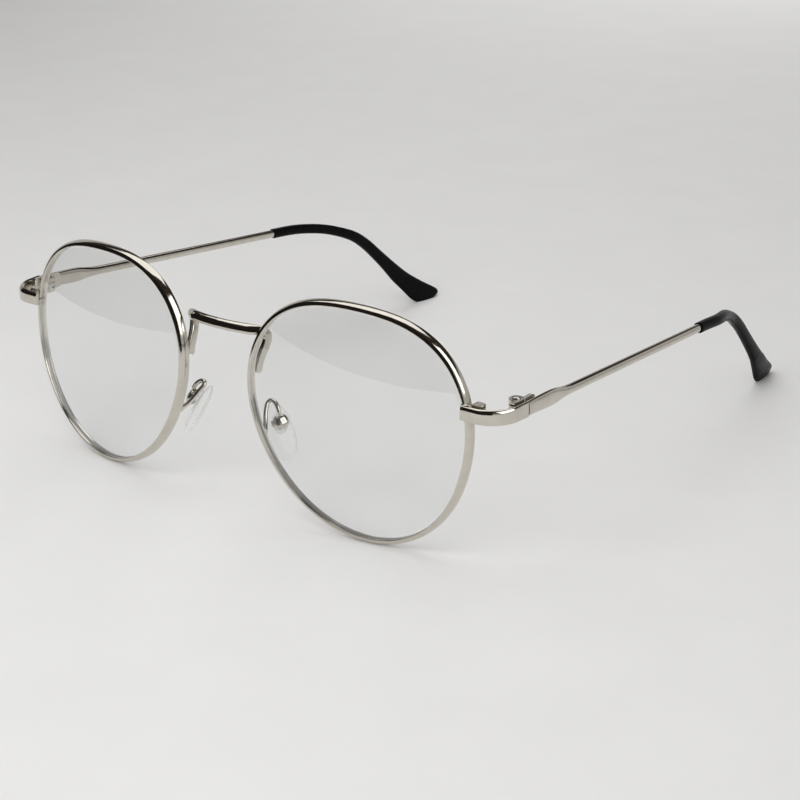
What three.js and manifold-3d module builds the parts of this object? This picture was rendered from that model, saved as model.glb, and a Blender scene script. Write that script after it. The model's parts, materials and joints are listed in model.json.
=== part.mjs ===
// Round wire-rimmed eyeglasses: two grooved rims closed by screwed blocks, clear lenses, a formed
// bridge, wrap-round endpieces, three-knuckle hinges, adjustable nose pads, and slim temples
// with black moulded tips. Millimetres, +Z up, the front faces -Y and the temples run along +Y.
import * as THREE from "three";
import { mergeVertices } from "three/addons/utils/BufferGeometryUtils.js";
import Module from "manifold-3d";

const wasm = await Module();
wasm.setup();

// ---------------------------------------------------------------- driving dimensions

// Front: the left half (+X) is modelled, and the right half is its mirror image.
const LENS_CENTRE_X = 36.64;
const FRONT_WRAP = THREE.MathUtils.degToRad(7.6); // each lens turns its outer side back
const FRONT_TILT = THREE.MathUtils.degToRad(-1.2); // the foot of each lens stands slightly forward
const LENS_CURVE_RADIUS = 135;

// Rim centre line, as a radius that varies round the lens: a round panto shape.
const RIM_RADIUS = 25.94;
const RIM_OVAL = 0.66; // wider than tall
const RIM_LEAN = -0.82; // fuller at the upper inner and lower outer quarters
const RIM_FLARE = -0.24; // fuller towards the nose
const RIM_EGG = 0.94; // narrower above, deeper below
const RIM_CORNER = -0.3; // squarer shoulders
const RIM_WIDTH = 1.24;
const RIM_DEPTH = 2.0;
const RIM_CHAMFER = 0.22;
// The crowned front of the rim's section: in from its outer face, and back from its front face.
const RIM_CROWN = [
  [0.8, 0],
  [0.3, 0.2],
  [0, 1],
];
const RIM_STEPS = 64;
const GROOVE_DEPTH = 0.5;
const GROOVE_MOUTH = 0.84;

const LENS_THICKNESS = 1.3;
const LENS_CLEARANCE = 0.08;
const BEVEL_HEIGHT = 0.48;
const BEVEL_WIDTH = 0.72;

// Endpiece: a strap soldered over the front of the rim, round the corner and back to the hinge.
const HINGE_Z = 33.35; // middle height of strap, closing blocks and hinge
const STRAP_FRONT_Y = 3.82;
const STRAP_FRONT_X = 61.2;
const STRAP_CORNER_RADIUS = 6.5;
const STRAP_THIN = 0.95; // where it lies over the rim
const STRAP_THICK = 1.3; // round the corner and along the side
const STRAP_HALF_HEIGHT = [1.5, 1.62]; // at the rim and at the hinge
const STRAP_SWELL = [0.15, 0.6]; // shares of its length where the strap thickens
const STRAP_FLARE = 0.1; // how far it leans out between the corner and the hinge
const STRAP_CORNER_STEPS = 8;
// The strap's rounded upper front edge: inward from its face, and down from its top.
const STRAP_TOP_EDGE = [
  [0, 0.95],
  [0.14, 0.5],
  [0.4, 0.15],
  [0.75, 0],
];
const STRAP_BREAK = { top: 0.05, foot: 0.25 }; // small breaks of its other edges
const JOINT_X = 71; // outer face of the strap's end and of the temple's
const JOINT_Y = 13.7;
const JOINT_GAP = 0.1;

const RIM_GAP_ANGLE = THREE.MathUtils.degToRad(14.6); // where the rim is split
const RIM_GAP = 0.3;
const BLOCK = {
  length: 2.6,
  depth: 2.3,
  height: 1.65,
  front: 5.55,
  start: 0.1,
  screwShare: 0.52,
  cover: 0.4,
};
const CLOSING_SCREW = { shank: 0.55, head: 0.95, headHeight: 0.38, bore: 0.62 };

const HINGE_X = 67.9;
const KNUCKLE_RADIUS = 1.6;
const KNUCKLE_HEIGHT = 1.13;
const KNUCKLE_GAP = 0.05;
const KNUCKLE_ROOM = 0.12; // clearance round a knuckle in the other leaf
const LEAF = { thickness: 0.9, gap: 0.14, front: 3.3, temple: 4.4 };
const HINGE_SCREW = { shank: 0.55, head: 1.0, headHeight: 0.4, bore: 0.6 };
const SCREW_SLOT = { width: 0.26, depth: 0.2 };
const SCREW_SEAT = 0.03; // between a screw head and the face under it
const SCREW_POINT = 0.09; // chamfer at the end of a shank
const OVERRUN = 1; // how far a cutting tool runs past the solid that it cuts

// Bridge: half of its centre line, from the middle of the bar to the foot of the leg.
const BRIDGE_LINE = [
  [0, 0.3, 40.8],
  [4, 0.6, 40.78],
  [8.2, 1.5, 40.68],
  [10.1, 2.9, 40.3],
  [10.55, 3.9, 39.2],
  [10.45, 3.75, 37.7],
  [10.05, 2.75, 35.5],
  [9.85, 1.7, 33.3],
  [9.8, 1.35, 31.5],
];
const BRIDGE_BAR = { height: 2.35, depth: 1.55, power: 2.1, lean: 0.9 };
const BRIDGE_LEG = { height: 1.25, depth: 2.1, power: 4 };
const BRIDGE_BEND = [0.42, 0.62]; // shares of the half line where the bar turns into the leg
const BRIDGE_STEPS = 20;

// Nose pads: the pad box is the reference, with its axes across, along and out of the pad.
const PAD_BOX_CENTRE = new THREE.Vector3(12.75, 4.75, 19.95);
const PAD_UP = new THREE.Vector3(-0.474, 0.19, 0.86).normalize();
const PAD_FACE = new THREE.Vector3(-0.726, 0.468, -0.503).normalize();
const PAD = { halfWidth: 3.1, halfLength: 6.3, halfThickness: 1.3, drop: 1.9, stand: 2.2 };
const PAD_BOX = { radius: 1.75, back: -1.5, front: 0.55, slot: 1.0, floor: -0.85 };
const PAD_PIN = { z: 0.1, shank: 0.4, bore: 0.45, head: 0.75, headHeight: 0.35 };
const PAD_LUG = { radius: 0.82, thickness: 0.8, neck: 0.7 };
const PAD_CORE = { halfWidth: 1.5, halfLength: 2.4, near: 0.95, far: 1.4, clearance: 0.1 };
const ARM_RADIUS = 0.5;
const ARM_FOOT = { angle: THREE.MathUtils.degToRad(198), outward: 0.1, gap: 0.06 };
const ARM_STEPS = 22;
const ARM_SIDE = new THREE.Vector3(0, 0.79, -0.61); // square to the plane that the arm bends in
const ARM_LINE = [
  [11.0, 1.9, 20.2],
  [9.75, 3.6, 22.5],
  [9.35, 4.75, 23.65],
  [9.8, 5.2, 24.1],
  [10.8, 5.2, 24.0],
  [11.8, 4.9, 23.3],
];

// Temple: stations by distance behind the hinge, with half height and half thickness.
const TEMPLE_INSLOPE = 0.081; // inward per unit of depth
const TEMPLE_DROP = 0.0621; // down per unit of depth
const TEMPLE_STATIONS = [
  [0.1, 1.5, 0.65],
  [3, 1.6, 0.65],
  [7, 1.73, 0.65],
  [9.5, 1.74, 0.65],
  [11.5, 1.6, 0.67],
  [13.5, 1.3, 0.75],
  [16, 1.1, 0.86],
  [20, 1.04, 0.92],
  [41, 1.02, 0.92],
  [58, 1.01, 0.9],
  [74.3, 1.0, 0.88],
];
const TIP_START = 74.5;
const CORE_HALF = [0.65, 0.55]; // half height and half thickness of the wire inside the tip
const CORE_END = 0.64; // share of the tip's length
const CORE_CLEARANCE = 0.08;

// Tip: its upper and lower edges in side view, as distance behind the hinge and height.
const TIP_UPPER = [
  [TIP_START, 29.95],
  [82, 29.4],
  [90, 28.2],
  [95.5, 26.55],
  [100.8, 24.2],
  [105.1, 21.15],
  [109.6, 17.05],
  [114.1, 13],
  [118.6, 9.2],
  [123.9, 5.4],
  [129.4, 1.7],
  [127.6, 0],
];
const TIP_LOWER = [
  [TIP_START, 27.5],
  [81.7, 26.95],
  [89.4, 25.75],
  [94.2, 24.3],
  [99, 22.05],
  [103.1, 19],
  [107.3, 14.9],
  [111, 10.9],
  [114.1, 7.2],
  [116.8, 4.1],
  [119.1, 1.4],
  [121, 0],
];
const TIP_HALF_THICKNESS = [1.2, 1.25, 1.25, 1.2, 1.15, 1.1, 1.05, 1.05, 1.0, 0.65];
const TIP_STEPS = 20;
const CORE_STEPS = 13;
// The tip swings in towards the head round its bend, and then leans in more slowly.
const TIP_BEND = { from: 82, to: 102, inward: 4.1 };
const TIP_LEAN = 0.05; // inward per unit of depth behind the bend
const TIP_FOOT = { below: 8, lean: 0.22 }; // the foot turns in more, per unit of height

// ---------------------------------------------------------------- materials

const polishedMetal = new THREE.MeshStandardMaterial({ color: 0xc9c6bf, roughness: 0.18, metalness: 1 });
const clearLens = new THREE.MeshStandardMaterial({ color: 0xeef4f6, roughness: 0.04, metalness: 0 });
clearLens.transparent = true;
clearLens.opacity = 0.22;
const softClear = new THREE.MeshStandardMaterial({ color: 0xf2f4f4, roughness: 0.12, metalness: 0 });
softClear.transparent = true;
softClear.opacity = 0.45;
const hardClear = new THREE.MeshStandardMaterial({ color: 0xe6eaea, roughness: 0.1, metalness: 0 });
const blackPlastic = new THREE.MeshStandardMaterial({ color: 0x111214, roughness: 0.42, metalness: 0 });

// ---------------------------------------------------------------- solids and booleans

const vec = (x, y, z) => new THREE.Vector3(x, y, z);

function mergedSolid(geometry) {
  const bare = new THREE.BufferGeometry();
  bare.setAttribute("position", geometry.getAttribute("position").clone());
  bare.setIndex(geometry.index ? geometry.index.clone() : null);
  const merged = mergeVertices(bare, 1e-4);
  const vertProperties = merged.getAttribute("position").array;
  const triVerts = new Uint32Array(merged.index.array);
  return new wasm.Manifold(new wasm.Mesh({ numProp: 3, vertProperties, triVerts }));
}

function solidGeometry(solid) {
  const mesh = solid.getMesh();
  const geometry = new THREE.BufferGeometry();
  geometry.setAttribute("position", new THREE.BufferAttribute(mesh.vertProperties, 3));
  geometry.setIndex(new THREE.BufferAttribute(mesh.triVerts, 1));
  geometry.computeVertexNormals();
  return geometry;
}

// Joins the first list of geometries and cuts the second list from the result.
function carve(joined, removed = []) {
  let solid = mergedSolid(joined[0]);
  for (const geometry of joined.slice(1)) solid = solid.add(mergedSolid(geometry));
  for (const geometry of removed) solid = solid.subtract(mergedSolid(geometry));
  return solidGeometry(solid);
}

// A closed skin through matching sections (arrays of points); open runs get a fan over each end.
function loft(sections) {
  const count = sections[0].length;
  const points = sections.flat();
  const index = [];
  for (let i = 0; i < sections.length - 1; i++) {
    for (let j = 0; j < count; j++) {
      const near = i * count + j;
      const nearNext = i * count + ((j + 1) % count);
      index.push(near, nearNext, nearNext + count, near, nearNext + count, near + count);
    }
  }
  for (const [end, flip] of [[0, false], [sections.length - 1, true]]) {
    const hub = points.length;
    points.push(sections[end].reduce((sum, p) => sum.add(p), vec(0, 0, 0)).divideScalar(count));
    for (let j = 0; j < count; j++) {
      const a = end * count + j;
      const b = end * count + ((j + 1) % count);
      index.push(...(flip ? [hub, a, b] : [hub, b, a]));
    }
  }
  const geometry = new THREE.BufferGeometry().setFromPoints(points);
  geometry.setIndex(index);
  return facingOut(geometry);
}

// Turns every triangle round if the skin encloses a negative volume.
function facingOut(geometry) {
  const at = geometry.getAttribute("position");
  const index = geometry.index.array;
  const corner = [vec(), vec(), vec()];
  let volume = 0;
  for (let i = 0; i < index.length; i += 3) {
    corner.forEach((p, k) => p.fromBufferAttribute(at, index[i + k]));
    volume += corner[0].dot(corner[1].clone().cross(corner[2])) / 6;
  }
  if (volume < 0) {
    for (let i = 0; i < index.length; i += 3) [index[i], index[i + 1]] = [index[i + 1], index[i]];
  }
  geometry.computeVertexNormals();
  return geometry;
}

// Points round a rounded section: power 2 is an ellipse, larger powers are squarer.
function roundedSection(halfAcross, halfUp, count = 12, power = 2.6) {
  return Array.from({ length: count }, (_, i) => {
    const angle = ((i + 0.5) / count) * 2 * Math.PI;
    const bend = (value) => Math.sign(value) * Math.abs(value) ** (2 / power);
    return new THREE.Vector2(halfAcross * bend(Math.cos(angle)), halfUp * bend(Math.sin(angle)));
  });
}

// Sections along a curve, each with its height as near as it can be to a given direction.
function sweepSections(curve, steps, upAt, sectionAt) {
  return Array.from({ length: steps + 1 }, (_, i) => {
    const tangent = curve.getTangentAt(i / steps);
    const up = upAt(i / steps);
    up.addScaledVector(tangent, -up.dot(tangent)).normalize();
    const across = tangent.clone().cross(up);
    const centre = curve.getPointAt(i / steps);
    return sectionAt(i / steps).map((p) =>
      centre.clone().addScaledVector(across, p.x).addScaledVector(up, p.y),
    );
  });
}

const boxBetween = (low, high) =>
  new THREE.BoxGeometry(high.x - low.x, high.y - low.y, high.z - low.z).translate(
    (low.x + high.x) / 2,
    (low.y + high.y) / 2,
    (low.z + high.z) / 2,
  );

const uprightCylinder = (radius, x, y, low, high, sides = 20) =>
  new THREE.CylinderGeometry(radius, radius, high - low, sides)
    .rotateX(Math.PI / 2)
    .translate(x, y, (low + high) / 2);

// A slotted screw along +Z: its shank runs down from z = 0 and its head stands on z = 0.
function slottedScrew({ shank, head, headHeight }, length) {
  const profile = [
    [0, -length],
    [shank - SCREW_POINT, -length],
    [shank, -length + SCREW_POINT],
    [shank, 0],
    [head, 0],
    [head, headHeight * 0.6],
    [head * 0.72, headHeight],
    [0, headHeight],
  ].map(([x, y]) => new THREE.Vector2(x, y));
  const turned = new THREE.LatheGeometry(profile, 14).rotateX(Math.PI / 2);
  const slot = boxBetween(
    vec(-head * 1.1, -SCREW_SLOT.width / 2, headHeight - SCREW_SLOT.depth),
    vec(head * 1.1, SCREW_SLOT.width / 2, headHeight + OVERRUN),
  );
  return carve([turned], [slot]);
}

// ---------------------------------------------------------------- rim and lens

function rimRadius(angle) {
  return (
    RIM_RADIUS +
    RIM_OVAL * Math.cos(2 * angle) +
    RIM_LEAN * Math.sin(2 * angle) +
    RIM_FLARE * Math.cos(3 * angle) +
    RIM_EGG * Math.sin(3 * angle) +
    RIM_CORNER * Math.cos(4 * angle)
  );
}

// A point of the curved front: out and up from the lens centre, and behind its spherical surface.
function frontPoint(out, up, behind) {
  const back = (out * out + up * up) / (2 * LENS_CURVE_RADIUS) + behind;
  return vec(out, back, up)
    .applyAxisAngle(vec(0, 0, 1), FRONT_WRAP)
    .applyAxisAngle(vec(1, 0, 0), FRONT_TILT)
    .add(vec(LENS_CENTRE_X, 0, lensCentreZ));
}

// A point near the rim's centre line: outward by radial, and behind it by axial.
function rimPoint(angle, radial, axial) {
  const radius = rimRadius(angle) + radial;
  return frontPoint(radius * Math.cos(angle), radius * Math.sin(angle), axial);
}

const rimGapShare = RIM_GAP / (2 * Math.PI * RIM_RADIUS);
const rimAngles = Array.from({ length: RIM_STEPS + 1 }, (_, i) => {
  const share = rimGapShare / 2 + (1 - rimGapShare) * (i / RIM_STEPS);
  return RIM_GAP_ANGLE + share * 2 * Math.PI;
});

// The lens centre is as high as it has to be for the rim to touch z = 0.
let lensCentreZ = 0;
const rimBackEdge = rimAngles.map((angle) => rimPoint(angle, RIM_WIDTH / 2, RIM_DEPTH / 2 - RIM_CHAMFER));
lensCentreZ = -Math.min(...rimBackEdge.map((p) => p.z));

function rimGeometry() {
  const half = RIM_WIDTH / 2;
  const deep = RIM_DEPTH / 2;
  const section = [
    ...RIM_CROWN.map(([inward, back]) => [half - inward, -deep + back]),
    [half, deep - RIM_CHAMFER],
    [half - RIM_CHAMFER, deep],
    [-half, deep],
    [-half, GROOVE_MOUTH / 2],
    [-half + GROOVE_DEPTH, 0],
    [-half, -GROOVE_MOUTH / 2],
    [-half, -deep],
  ];
  return loft(rimAngles.map((angle) => section.map(([radial, axial]) => rimPoint(angle, radial, axial))));
}

function lensGeometry() {
  const half = LENS_THICKNESS / 2;
  const edge = -RIM_WIDTH / 2 - LENS_CLEARANCE;
  const lensAngles = Array.from({ length: RIM_STEPS }, (_, i) => (i / RIM_STEPS) * 2 * Math.PI);
  const rings = [
    [0.04, 0, -half],
    [0.5, 0, -half],
    [1, 0, -half],
    [1, 0, -BEVEL_WIDTH / 2],
    [1, BEVEL_HEIGHT, 0],
    [1, 0, BEVEL_WIDTH / 2],
    [1, 0, half],
    [0.5, 0, half],
    [0.04, 0, half],
  ];
  return loft(
    rings.map(([share, beyond, behind]) =>
      lensAngles.map((angle) => {
        const radius = share * (rimRadius(angle) + edge) + beyond;
        return frontPoint(radius * Math.cos(angle), radius * Math.sin(angle), behind);
      }),
    ),
  );
}

// ---------------------------------------------------------------- bridge

function bridgeGeometry() {
  const line = new THREE.CatmullRomCurve3(BRIDGE_LINE.map((p) => vec(...p)), false, "centripetal");
  const legShare = (share) => THREE.MathUtils.smoothstep(share, ...BRIDGE_BEND);
  // The bar's height leans back, turns inward round the bend, and becomes the width of the leg.
  const upAt = (share) => {
    const bar = 1 - legShare(share);
    return vec(1 - bar, BRIDGE_BAR.lean * bar, bar);
  };
  const sectionAt = (share) => {
    const leg = legShare(share);
    const between = (quality) => THREE.MathUtils.lerp(BRIDGE_BAR[quality], BRIDGE_LEG[quality], leg);
    return roundedSection(between("depth") / 2, between("height") / 2, 12, between("power"));
  };
  const half = sweepSections(line, BRIDGE_STEPS, upAt, sectionAt);
  half[0].forEach((p) => p.setX(0));
  const mirrored = half.slice(1).map((section) => section.map((p) => vec(-p.x, p.y, p.z)));
  return loft([...mirrored.reverse(), ...half]);
}

// ---------------------------------------------------------------- endpiece and rim closing

// The strap's outer face seen from above, from the rim to the hinge: points and outward normals.
function strapPath() {
  const centre = new THREE.Vector2(
    JOINT_X - STRAP_FLARE - STRAP_CORNER_RADIUS,
    STRAP_FRONT_Y + STRAP_CORNER_RADIUS,
  );
  const path = [
    { x: STRAP_FRONT_X, y: STRAP_FRONT_Y, nx: 0, ny: -1 },
    { x: (STRAP_FRONT_X + centre.x) / 2, y: STRAP_FRONT_Y, nx: 0, ny: -1 },
  ];
  for (let i = 0; i <= STRAP_CORNER_STEPS; i++) {
    const turn = (i / STRAP_CORNER_STEPS) * (Math.PI / 2);
    const nx = Math.sin(turn);
    const ny = -Math.cos(turn);
    path.push({ x: centre.x + STRAP_CORNER_RADIUS * nx, y: centre.y + STRAP_CORNER_RADIUS * ny, nx, ny });
  }
  path.push({ x: JOINT_X, y: JOINT_Y - JOINT_GAP / 2, nx: 1, ny: 0 });
  return path;
}

function endpieceGeometry() {
  const path = strapPath();
  return loft(
    path.map(({ x, y, nx, ny }, i) => {
      const share = i / (path.length - 1);
      const thickening = THREE.MathUtils.smoothstep(share, ...STRAP_SWELL);
      const thick = THREE.MathUtils.lerp(STRAP_THIN, STRAP_THICK, thickening);
      const high = THREE.MathUtils.lerp(STRAP_HALF_HEIGHT[0], STRAP_HALF_HEIGHT[1], share);
      const section = [
        [0, -high + STRAP_BREAK.foot],
        ...STRAP_TOP_EDGE.map(([inset, drop]) => [inset, high - drop]),
        [thick, high - STRAP_BREAK.top],
        [thick, -high],
        [STRAP_BREAK.foot, -high],
      ];
      return section.map(([inset, up]) => vec(x - nx * inset, y - ny * inset, HINGE_Z + up));
    }),
  );
}

const rimEnd = rimPoint(RIM_GAP_ANGLE, 0, 0);
const blockFootAngle = RIM_GAP_ANGLE - BLOCK.height / RIM_RADIUS;
const blockStartX = rimPoint(blockFootAngle, RIM_WIDTH / 2, -RIM_DEPTH / 2).x + BLOCK.start;
const closingScrewAt = { x: blockStartX + BLOCK.length / 2, y: BLOCK.front + BLOCK.depth * BLOCK.screwShare };
const blockLow = (level) => (level > 0 ? rimEnd.z + RIM_GAP / 2 : rimEnd.z - RIM_GAP / 2 - BLOCK.height);

// One half of the block that clamps the rim's two ends: level is +1 above the split, -1 below.
function closingBlockGeometry(level) {
  const low = blockLow(level);
  const block = boxBetween(
    vec(blockStartX, BLOCK.front, low),
    vec(blockStartX + BLOCK.length, BLOCK.front + BLOCK.depth, low + BLOCK.height),
  );
  const { x, y } = closingScrewAt;
  const boreTop = low + BLOCK.height + (level > 0 ? -BLOCK.cover : OVERRUN);
  const bore = uprightCylinder(CLOSING_SCREW.bore, x, y, low - OVERRUN, boreTop, 16);
  return carve([block], [bore]);
}

function closingScrewGeometry() {
  const length = 2 * (BLOCK.height - BLOCK.cover) + RIM_GAP;
  return slottedScrew(CLOSING_SCREW, length)
    .rotateX(Math.PI)
    .translate(closingScrewAt.x, closingScrewAt.y, blockLow(-1) - SCREW_SEAT);
}

// ---------------------------------------------------------------- hinge

const knucklePitch = KNUCKLE_HEIGHT + KNUCKLE_GAP;
const knuckleLow = (level) => HINGE_Z + level * knucklePitch - KNUCKLE_HEIGHT / 2;
const hingeLow = knuckleLow(-1);
const hingeHigh = knuckleLow(1) + KNUCKLE_HEIGHT;
const leafOuterX = JOINT_X - STRAP_THICK - LEAF.gap;

function knuckle(level, radius = KNUCKLE_RADIUS, spare = 0) {
  const low = knuckleLow(level);
  return uprightCylinder(radius, HINGE_X, JOINT_Y, low - spare, low + KNUCKLE_HEIGHT + spare);
}

const hingeBore = () =>
  uprightCylinder(HINGE_SCREW.bore, HINGE_X, JOINT_Y, hingeLow - OVERRUN, hingeHigh + OVERRUN, 16);

// Room for the other leaf's knuckles to turn.
const turningRoom = (level) => knuckle(level, KNUCKLE_RADIUS + KNUCKLE_ROOM, KNUCKLE_GAP);

function hingeFrontLeafGeometry() {
  const plate = boxBetween(
    vec(leafOuterX - LEAF.thickness, JOINT_Y - LEAF.front, hingeLow),
    vec(leafOuterX, JOINT_Y - JOINT_GAP / 2, hingeHigh),
  );
  return carve([plate, knuckle(1), knuckle(-1)], [turningRoom(0), hingeBore()]);
}

function hingeTempleLeafGeometry() {
  const plate = boxBetween(
    vec(leafOuterX - LEAF.thickness, JOINT_Y + JOINT_GAP / 2, hingeLow),
    vec(leafOuterX, JOINT_Y + LEAF.temple, hingeHigh),
  );
  plate
    .translate(-leafOuterX, -JOINT_Y, 0)
    .rotateZ(Math.atan(TEMPLE_INSLOPE))
    .translate(leafOuterX, JOINT_Y + LEAF.thickness * TEMPLE_INSLOPE, 0);
  return carve([plate, knuckle(0)], [turningRoom(1), turningRoom(-1), hingeBore()]);
}

function hingeScrewGeometry() {
  return slottedScrew(HINGE_SCREW, hingeHigh - hingeLow).translate(HINGE_X, JOINT_Y, hingeHigh + SCREW_SEAT);
}

// ---------------------------------------------------------------- nose pad

const padAcross = PAD_UP.clone().cross(PAD_FACE).normalize();
const padFrame = new THREE.Matrix4().makeBasis(padAcross, PAD_UP, PAD_FACE).setPosition(PAD_BOX_CENTRE);

const acrossCylinder = (radius, low, high, z, sides = 16) =>
  new THREE.CylinderGeometry(radius, radius, high - low, sides)
    .rotateZ(Math.PI / 2)
    .translate((low + high) / 2, 0, z);

function padBoxGeometry() {
  const { radius, back, front, slot, floor } = PAD_BOX;
  const profile = [
    [0, back],
    [radius * 0.55, back + 0.08],
    [radius * 0.88, back + 0.42],
    [radius, back + 0.95],
    [radius, front],
    [0, front],
  ].map(([x, y]) => new THREE.Vector2(x, y));
  const cup = new THREE.LatheGeometry(profile, 18).rotateX(Math.PI / 2);
  const reach = radius + OVERRUN;
  const lugSlot = boxBetween(vec(-slot / 2, -reach, floor), vec(slot / 2, reach, front + OVERRUN));
  const bore = acrossCylinder(PAD_PIN.bore, -reach, reach, PAD_PIN.z);
  return carve([cup], [lugSlot, bore]).applyMatrix4(padFrame);
}

function padScrewGeometry() {
  return slottedScrew(PAD_PIN, 2 * PAD_BOX.radius + 2 * SCREW_SEAT)
    .rotateY(Math.PI / 2)
    .translate(PAD_BOX.radius + SCREW_SEAT, 0, PAD_PIN.z)
    .applyMatrix4(padFrame);
}

function padCoreGeometry() {
  const { halfWidth, halfLength, near, far } = PAD_CORE;
  const plate = new THREE.CylinderGeometry(1, 1, far - near, 20)
    .rotateX(Math.PI / 2)
    .scale(halfWidth, halfLength, 1)
    .translate(0, 0, (near + far) / 2);
  const lug = acrossCylinder(PAD_LUG.radius, -PAD_LUG.thickness / 2, PAD_LUG.thickness / 2, PAD_PIN.z);
  const neck = boxBetween(
    vec(-PAD_LUG.thickness / 2, -PAD_LUG.neck, PAD_PIN.z),
    vec(PAD_LUG.thickness / 2, PAD_LUG.neck, (near + far) / 2),
  );
  const bore = acrossCylinder(PAD_PIN.bore, -OVERRUN, OVERRUN, PAD_PIN.z);
  return carve([plate, lug, neck], [bore]).applyMatrix4(padFrame);
}

function nosePadGeometry() {
  const { halfWidth, halfLength, halfThickness, drop, stand } = PAD;
  const body = new THREE.SphereGeometry(1, 18, 10)
    .scale(halfWidth, halfLength, halfThickness)
    .translate(0, -drop, stand);
  const spare = PAD_CORE.clearance;
  const pocket = new THREE.CylinderGeometry(1, 1, 2, 20)
    .rotateX(Math.PI / 2)
    .scale(PAD_CORE.halfWidth + spare, PAD_CORE.halfLength + spare, 1)
    .translate(0, 0, PAD_CORE.far + spare - 1);
  return carve([body], [pocket]).applyMatrix4(padFrame);
}

function padArmGeometry() {
  const foot = rimPoint(ARM_FOOT.angle, ARM_FOOT.outward, RIM_DEPTH / 2 + ARM_RADIUS + ARM_FOOT.gap);
  const end = vec(0, PAD_BOX.radius, PAD_BOX.back + ARM_RADIUS).applyMatrix4(padFrame);
  const points = [foot, ...ARM_LINE.map((p) => vec(...p)), end];
  const line = new THREE.CatmullRomCurve3(points, false, "centripetal");
  return loft(
    sweepSections(
      line,
      ARM_STEPS,
      () => ARM_SIDE.clone(),
      () => roundedSection(ARM_RADIUS, ARM_RADIUS, 8, 2),
    ),
  );
}

// ---------------------------------------------------------------- temple and tip

const templeHeight = (behind) => HINGE_Z - TEMPLE_DROP * behind;
const templeNormal = vec(1, TEMPLE_INSLOPE, 0).normalize();

// A point on the temple's middle plane: behind the hinge by a distance, at a height.
function templePoint(behind, z) {
  const bend = TIP_BEND.inward * THREE.MathUtils.smoothstep(behind, TIP_BEND.from, TIP_BEND.to);
  const foot = TIP_FOOT.lean * Math.max(0, TIP_FOOT.below - z);
  const lean = behind < TIP_START ? 0 : bend + TIP_LEAN * Math.max(0, behind - TIP_BEND.to) + foot;
  return vec(JOINT_X - STRAP_THICK / 2 - TEMPLE_INSLOPE * behind - lean, JOINT_Y + behind, z);
}

// A section between an upper and a lower point of the middle plane.
function bladeSection([upperAt, upperZ], [lowerAt, lowerZ], halfThickness, count = 12, power = 2.6) {
  const upper = templePoint(upperAt, upperZ);
  const lower = templePoint(lowerAt, lowerZ);
  const centre = upper.clone().add(lower).multiplyScalar(0.5);
  const halfUp = upper.clone().sub(lower).multiplyScalar(0.5);
  return roundedSection(halfThickness, 1, count, power).map((p) =>
    centre.clone().addScaledVector(templeNormal, p.x).addScaledVector(halfUp, p.y),
  );
}

const tipUpper = new THREE.SplineCurve(TIP_UPPER.map((p) => new THREE.Vector2(...p)));
const tipLower = new THREE.SplineCurve(TIP_LOWER.map((p) => new THREE.Vector2(...p)));

// The wire inside the tip follows the middle between the tip's two edges.
function coreSections(halfHeight, halfThickness, endShare) {
  return Array.from({ length: CORE_STEPS + 1 }, (_, i) => {
    const upper = tipUpper.getPoint((i / CORE_STEPS) * endShare);
    const lower = tipLower.getPoint((i / CORE_STEPS) * endShare);
    const centre = upper.clone().add(lower).multiplyScalar(0.5);
    const half = upper.clone().sub(lower).setLength(halfHeight);
    const top = centre.clone().add(half);
    const bottom = centre.clone().sub(half);
    return bladeSection(top.toArray(), bottom.toArray(), halfThickness, 10);
  });
}

function templeGeometry() {
  const bar = TEMPLE_STATIONS.map(([behind, halfHeight, halfThickness]) => {
    const z = templeHeight(behind);
    return bladeSection([behind, z + halfHeight], [behind, z - halfHeight], halfThickness, 10, 3.2);
  });
  return loft([...bar, ...coreSections(...CORE_HALF, CORE_END)]);
}

function templeTipGeometry() {
  const knots = TIP_HALF_THICKNESS.length - 1;
  const body = Array.from({ length: TIP_STEPS + 1 }, (_, i) => {
    const share = i / TIP_STEPS;
    const place = share * knots;
    const knot = Math.min(Math.floor(place), knots - 1);
    const half = THREE.MathUtils.lerp(TIP_HALF_THICKNESS[knot], TIP_HALF_THICKNESS[knot + 1], place - knot);
    return bladeSection(tipUpper.getPoint(share).toArray(), tipLower.getPoint(share).toArray(), half);
  });
  const [halfHeight, halfThickness] = CORE_HALF;
  const channel = coreSections(halfHeight + CORE_CLEARANCE, halfThickness + CORE_CLEARANCE, CORE_END + 0.02);
  const lead = channel[0].map((p) => p.clone().add(vec(TEMPLE_INSLOPE, -1, TEMPLE_DROP)));
  return carve([loft(body)], [loft([lead, ...channel])]);
}

// ---------------------------------------------------------------- assembly

const halfPieces = [
  ["rim", rimGeometry(), polishedMetal],
  ["lens", lensGeometry(), clearLens],
  ["endpiece", endpieceGeometry(), polishedMetal],
  ["closing_block_upper", closingBlockGeometry(1), polishedMetal],
  ["closing_block_lower", closingBlockGeometry(-1), polishedMetal],
  ["closing_screw", closingScrewGeometry(), polishedMetal],
  ["hinge_front_leaf", hingeFrontLeafGeometry(), polishedMetal],
  ["hinge_temple_leaf", hingeTempleLeafGeometry(), polishedMetal],
  ["hinge_screw", hingeScrewGeometry(), polishedMetal],
  ["pad_arm", padArmGeometry(), polishedMetal],
  ["pad_box", padBoxGeometry(), polishedMetal],
  ["pad_screw", padScrewGeometry(), polishedMetal],
  ["pad_core", padCoreGeometry(), hardClear],
  ["nose_pad", nosePadGeometry(), softClear],
  ["temple", templeGeometry(), polishedMetal],
  ["temple_tip", templeTipGeometry(), blackPlastic],
];

function namedMesh(name, geometry, material) {
  const mesh = new THREE.Mesh(geometry, material);
  mesh.name = name;
  return mesh;
}

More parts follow.
